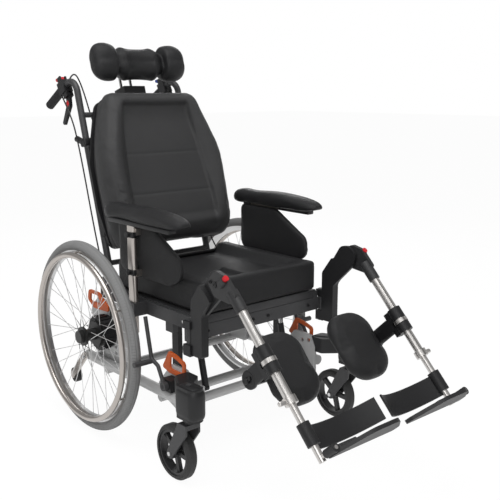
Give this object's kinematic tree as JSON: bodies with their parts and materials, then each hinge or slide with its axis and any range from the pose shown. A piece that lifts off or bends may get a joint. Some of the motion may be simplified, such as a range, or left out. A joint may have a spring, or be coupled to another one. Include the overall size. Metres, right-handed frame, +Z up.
{
  "type": "reclining wheelchair",
  "caption": "Wheelchair with tilting seat, reclining contoured back, headrest, height-adjustable armrests, elevating legrests and large self-propelling rear wheels.",
  "frame": {"origin": "on the floor, midway between the rear wheels under their axle", "axes": "+X to the occupant's left, +Y to the rear, +Z up"},
  "size_m": [0.742, 1.4939, 1.2262],
  "materials": {
    "silver": "satin",
    "champagne": "satin",
    "dark": "satin",
    "black": "matte",
    "rubber": "matte",
    "grey_tyre": "matte",
    "vinyl": "satin",
    "orange": "satin",
    "red": "gloss",
    "blue": "gloss",
    "chrome": "polished"
  },
  "bodies": {
    "base": {"base_frame": "silver", "frame_brackets": "dark", "tie_down_loops": "orange"},
    "seat": {"seat_frame": "dark", "seat_cushion": "vinyl"},
    "back": {"back_canes": "dark", "back_shell": "black", "back_cushion": "vinyl", "push_grips": "rubber", "brake_cables": "rubber"},
    "headrest_slider": {"headrest_posts": "chrome"},
    "headrest": {"headrest_pad": "vinyl"},
    "tilt_cylinders": {"tilt_cylinder": "dark"},
    "tilt_rods": {"tilt_rod": "chrome"},
    "recline_cylinders": {"recline_cylinder": "dark"},
    "recline_rods": {"recline_rod": "chrome"},
    "rear_wheel_right": {"tyre_right": "grey_tyre", "rim_right": "champagne", "hub_right": "black", "handrim_right": "champagne"},
    "castor_fork_right": {"castor_fork_right": "black"},
    "castor_wheel_right": {"castor_wheel_right": "rubber"},
    "armrest_right": {"arm_post_right": "champagne", "arm_pad_right": "vinyl", "side_panel_right": "vinyl"},
    "hanger_right": {"hanger_right": "black"},
    "leg_right": {"leg_tube_right": "champagne"},
    "knee_button_right": {"knee_button_right": "red"},
    "calf_right": {"calf_arm_right": "black", "calf_pad_right": "vinyl"},
    "lower_leg_right": {"lower_leg_right": "champagne", "heel_support_right": "black"},
    "footplate_right": {"footplate_right": "black"},
    "brake_lever_right": {"brake_lever_right": "black"},
    "tilt_lever": {"tilt_lever": "red"},
    "parking_brake_right": {"parking_brake_right": "champagne"},
    "anti_tip_right": {"anti_tip_right": "champagne"},
    "anti_tip_wheel_right": {"anti_tip_wheel_right": "rubber"},
    "rear_wheel_left": {"tyre_left": "grey_tyre", "rim_left": "champagne", "hub_left": "black", "handrim_left": "champagne"},
    "castor_fork_left": {"castor_fork_left": "black"},
    "castor_wheel_left": {"castor_wheel_left": "rubber"},
    "armrest_left": {"arm_post_left": "champagne", "arm_pad_left": "vinyl", "side_panel_left": "vinyl"},
    "hanger_left": {"hanger_left": "black"},
    "leg_left": {"leg_tube_left": "champagne"},
    "knee_button_left": {"knee_button_left": "red"},
    "calf_left": {"calf_arm_left": "black", "calf_pad_left": "vinyl"},
    "lower_leg_left": {"lower_leg_left": "champagne", "heel_support_left": "black"},
    "footplate_left": {"footplate_left": "black"},
    "brake_lever_left": {"brake_lever_left": "black"},
    "recline_lever": {"recline_lever": "blue"},
    "parking_brake_left": {"parking_brake_left": "champagne"},
    "anti_tip_left": {"anti_tip_left": "champagne"},
    "anti_tip_wheel_left": {"anti_tip_wheel_left": "rubber"}
  },
  "joints": [
    {"name": "seat_tilt", "type": "hinge", "parent": "base", "child": "seat", "pos_m": [0, -0.315, 0.39], "axis": [-1, 0, 0], "range_deg": [0, 20]},
    {"name": "back_recline", "type": "hinge", "parent": "seat", "child": "back", "pos_m": [0, 0.05, 0.45], "axis": [-1, 0, 0], "range_deg": [0, 35], "deforming": ["brake_cables"]},
    {"name": "headrest_height", "type": "slide", "parent": "back", "child": "headrest_slider", "axis": [0, 0.2756, 0.9613], "range_m": [0, 0.08]},
    {"name": "headrest_tilt", "type": "hinge", "parent": "headrest_slider", "child": "headrest", "pos_m": [0, 0.26658, 1.13275], "axis": [1, 0, 0], "range_deg": [-12, 12]},
    {"name": "tilt_spring_swing", "type": "hinge", "parent": "base", "child": "tilt_cylinders", "pos_m": [0, -0.4, 0.206], "axis": [-1, 0, 0], "range_deg": [-5, 5]},
    {"name": "tilt_spring_stroke", "type": "slide", "parent": "tilt_cylinders", "child": "tilt_rods", "axis": [0, 0.2402, 0.9707], "range_m": [-0.005, 0.03]},
    {"name": "recline_spring_swing", "type": "hinge", "parent": "seat", "child": "recline_cylinders", "pos_m": [0, -0.232, 0.412], "axis": [-1, 0, 0], "range_deg": [-8, 8]},
    {"name": "recline_spring_stroke", "type": "slide", "parent": "recline_cylinders", "child": "recline_rods", "axis": [0, 0.9998, -0.0195], "range_m": [-0.04, 0.005]},
    {"name": "rear_wheel_spin_right", "type": "hinge", "parent": "base", "child": "rear_wheel_right", "pos_m": [-0.336, 0, 0.305], "axis": [1, 0, 0], "continuous": true},
    {"name": "castor_swivel_right", "type": "hinge", "parent": "base", "child": "castor_fork_right", "pos_m": [-0.323, -0.53, 0.25], "axis": [0, 0, 1], "continuous": true},
    {"name": "castor_spin_right", "type": "hinge", "parent": "castor_fork_right", "child": "castor_wheel_right", "pos_m": [-0.323, -0.468, 0.08], "axis": [1, 0, 0], "continuous": true},
    {"name": "armrest_height_right", "type": "slide", "parent": "seat", "child": "armrest_right", "axis": [0, 0, 1], "range_m": [0, 0.08]},
    {"name": "hanger_swing_right", "type": "hinge", "parent": "seat", "child": "hanger_right", "pos_m": [-0.262, -0.455, 0.4], "axis": [0, 0, -1], "range_deg": [0, 90]},
    {"name": "leg_elevation_right", "type": "hinge", "parent": "hanger_right", "child": "leg_right", "pos_m": [-0.258, -0.58, 0.572], "axis": [-1, 0, 0], "range_deg": [-18, 42]},
    {"name": "knee_button_press_right", "type": "slide", "parent": "leg_right", "child": "knee_button_right", "axis": [0, 0.7206, -0.6934], "range_m": [0, 0.004], "stiffness_N_per_m": 800},
    {"name": "calf_swing_right", "type": "hinge", "parent": "leg_right", "child": "calf_right", "pos_m": [-0.258, -0.77641, 0.41405], "axis": [0, 0.6934, 0.7206], "range_deg": [0, 45]},
    {"name": "leg_length_right", "type": "slide", "parent": "leg_right", "child": "lower_leg_right", "axis": [0, -0.6934, -0.7206], "range_m": [0, 0.09]},
    {"name": "footplate_flip_right", "type": "hinge", "parent": "lower_leg_right", "child": "footplate_right", "pos_m": [-0.258, -0.9869, 0.253], "axis": [0, -0.7206, 0.6934], "range_deg": [0, 90]},
    {"name": "brake_lever_pull_right", "type": "hinge", "parent": "back", "child": "brake_lever_right", "pos_m": [-0.204, 0.29113, 1.05449], "axis": [1, 0, 0], "range_deg": [0, 18], "stiffness_Nm_per_rad": 2},
    {"name": "tilt_lever_pull", "type": "hinge", "parent": "back", "child": "tilt_lever", "pos_m": [-0.204, 0.3287, 1.10233], "axis": [1, 0, 0], "range_deg": [0, 15], "stiffness_Nm_per_rad": 0.5},
    {"name": "parking_brake_release_right", "type": "hinge", "parent": "base", "child": "parking_brake_right", "pos_m": [-0.295, -0.374, 0.236], "axis": [1, 0, 0], "range_deg": [0, 40]},
    {"name": "anti_tip_swing_right", "type": "hinge", "parent": "base", "child": "anti_tip_right", "pos_m": [-0.29, 0.092, 0.2], "axis": [1, 0, 0], "range_deg": [0, 90]},
    {"name": "anti_tip_spin_right", "type": "hinge", "parent": "anti_tip_right", "child": "anti_tip_wheel_right", "pos_m": [-0.278, 0.184, 0.108], "axis": [1, 0, 0], "continuous": true},
    {"name": "rear_wheel_spin_left", "type": "hinge", "parent": "base", "child": "rear_wheel_left", "pos_m": [0.336, 0, 0.305], "axis": [1, 0, 0], "continuous": true},
    {"name": "castor_swivel_left", "type": "hinge", "parent": "base", "child": "castor_fork_left", "pos_m": [0.323, -0.53, 0.25], "axis": [0, 0, 1], "continuous": true},
    {"name": "castor_spin_left", "type": "hinge", "parent": "castor_fork_left", "child": "castor_wheel_left", "pos_m": [0.323, -0.468, 0.08], "axis": [1, 0, 0], "continuous": true},
    {"name": "armrest_height_left", "type": "slide", "parent": "seat", "child": "armrest_left", "axis": [0, 0, 1], "range_m": [0, 0.08]},
    {"name": "hanger_swing_left", "type": "hinge", "parent": "seat", "child": "hanger_left", "pos_m": [0.262, -0.455, 0.4], "axis": [0, 0, 1], "range_deg": [0, 90]},
    {"name": "leg_elevation_left", "type": "hinge", "parent": "hanger_left", "child": "leg_left", "pos_m": [0.258, -0.58, 0.572], "axis": [-1, 0, 0], "range_deg": [-18, 42]},
    {"name": "knee_button_press_left", "type": "slide", "parent": "leg_left", "child": "knee_button_left", "axis": [0, 0.7206, -0.6934], "range_m": [0, 0.004], "stiffness_N_per_m": 800},
    {"name": "calf_swing_left", "type": "hinge", "parent": "leg_left", "child": "calf_left", "pos_m": [0.258, -0.77641, 0.41405], "axis": [0, -0.6934, -0.7206], "range_deg": [0, 45]},
    {"name": "leg_length_left", "type": "slide", "parent": "leg_left", "child": "lower_leg_left", "axis": [0, -0.6934, -0.7206], "range_m": [0, 0.09]},
    {"name": "footplate_flip_left", "type": "hinge", "parent": "lower_leg_left", "child": "footplate_left", "pos_m": [0.258, -0.9869, 0.253], "axis": [0, 0.7206, -0.6934], "range_deg": [0, 90]},
    {"name": "brake_lever_pull_left", "type": "hinge", "parent": "back", "child": "brake_lever_left", "pos_m": [0.204, 0.29113, 1.05449], "axis": [1, 0, 0], "range_deg": [0, 18], "stiffness_Nm_per_rad": 2},
    {"name": "recline_lever_pull", "type": "hinge", "parent": "back", "child": "recline_lever", "pos_m": [0.204, 0.3287, 1.10233], "axis": [1, 0, 0], "range_deg": [0, 15], "stiffness_Nm_per_rad": 0.5},
    {"name": "parking_brake_release_left", "type": "hinge", "parent": "base", "child": "parking_brake_left", "pos_m": [0.295, -0.374, 0.236], "axis": [1, 0, 0], "range_deg": [0, 40]},
    {"name": "anti_tip_swing_left", "type": "hinge", "parent": "base", "child": "anti_tip_left", "pos_m": [0.29, 0.092, 0.2], "axis": [1, 0, 0], "range_deg": [0, 90]},
    {"name": "anti_tip_spin_left", "type": "hinge", "parent": "anti_tip_left", "child": "anti_tip_wheel_left", "pos_m": [0.278, 0.184, 0.108], "axis": [1, 0, 0], "continuous": true}
  ],
  "couplings": [
    {"joint": "tilt_spring_swing", "follows": "seat_tilt", "ratio": 0.03487},
    {"joint": "tilt_spring_stroke", "follows": "seat_tilt", "m_per_rad": 0.037449},
    {"joint": "recline_spring_swing", "follows": "back_recline", "ratio": -0.096035},
    {"joint": "recline_spring_stroke", "follows": "back_recline", "m_per_rad": -0.036718}
  ]
}
